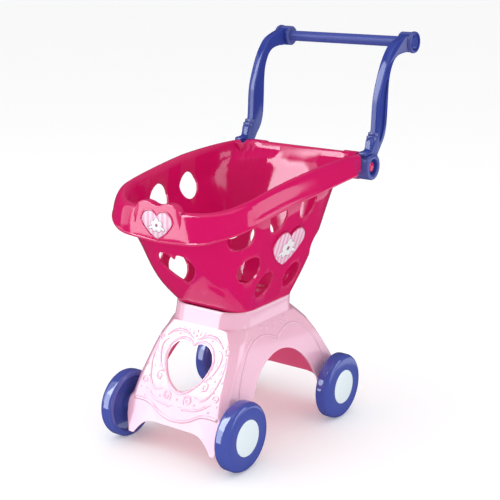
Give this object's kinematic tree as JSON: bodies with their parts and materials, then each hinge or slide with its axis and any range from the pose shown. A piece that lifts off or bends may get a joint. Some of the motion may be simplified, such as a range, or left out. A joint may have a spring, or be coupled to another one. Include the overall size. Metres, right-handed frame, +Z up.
{
  "type": "toy shopping trolley",
  "caption": "Child's role-play shopping trolley: a perforated tapering basket on a hollow arched base with spinning wheels and a fold-back push handle.",
  "frame": {"origin": "on the floor, under the middle of the whole trolley's bounding box", "axes": "+Z up; -Y is the front, the basket's badged end; +Y is the handle end; X is across, and the trolley is symmetric about X = 0"},
  "size_m": [0.2492, 0.4752, 0.55],
  "materials": {
    "magenta_plastic": "glossy",
    "pink_plastic": "glossy",
    "blue_plastic": "satin",
    "white_plastic": "satin",
    "badge_plastic": "glossy",
    "steel": "satin"
  },
  "bodies": {
    "frame": {"base": "pink_plastic", "basket": "magenta_plastic", "front_badge": "badge_plastic", "side_badge_left": "badge_plastic", "side_badge_right": "badge_plastic", "pivot_pin_left": "magenta_plastic", "pivot_pin_right": "magenta_plastic", "axle_push_nuts": "steel", "axle_washers": "steel", "basket_screws": "steel", "axle_front_left": "steel", "axle_front_right": "steel", "axle_rear_left": "steel", "axle_rear_right": "steel"},
    "handle": {"handle_arm_left": "blue_plastic", "handle_arm_right": "blue_plastic", "handle_bar": "blue_plastic", "grip_cap_left": "blue_plastic", "grip_cap_right": "blue_plastic", "bar_screws": "steel"},
    "front_left_wheel": {"wheel_front_left": "blue_plastic", "hub_cap_front_left": "white_plastic"},
    "front_right_wheel": {"wheel_front_right": "blue_plastic", "hub_cap_front_right": "white_plastic"},
    "rear_left_wheel": {"wheel_rear_left": "blue_plastic", "hub_cap_rear_left": "white_plastic"},
    "rear_right_wheel": {"wheel_rear_right": "blue_plastic", "hub_cap_rear_right": "white_plastic"}
  },
  "joints": [
    {"name": "handle_fold", "type": "hinge", "parent": "frame", "child": "handle", "pos_m": [0, 0.1086, 0.364], "axis": [1, 0, 0], "range_deg": [-140, 0]},
    {"name": "front_left_wheel_spin", "type": "hinge", "parent": "frame", "child": "front_left_wheel", "pos_m": [-0.1005, -0.1884, 0.048], "axis": [1, 0, 0], "continuous": true},
    {"name": "front_right_wheel_spin", "type": "hinge", "parent": "frame", "child": "front_right_wheel", "pos_m": [0.1005, -0.1884, 0.048], "axis": [1, 0, 0], "continuous": true},
    {"name": "rear_left_wheel_spin", "type": "hinge", "parent": "frame", "child": "rear_left_wheel", "pos_m": [-0.1115, 0.0376, 0.048], "axis": [1, 0, 0], "continuous": true},
    {"name": "rear_right_wheel_spin", "type": "hinge", "parent": "frame", "child": "rear_right_wheel", "pos_m": [0.1115, 0.0376, 0.048], "axis": [1, 0, 0], "continuous": true}
  ]
}
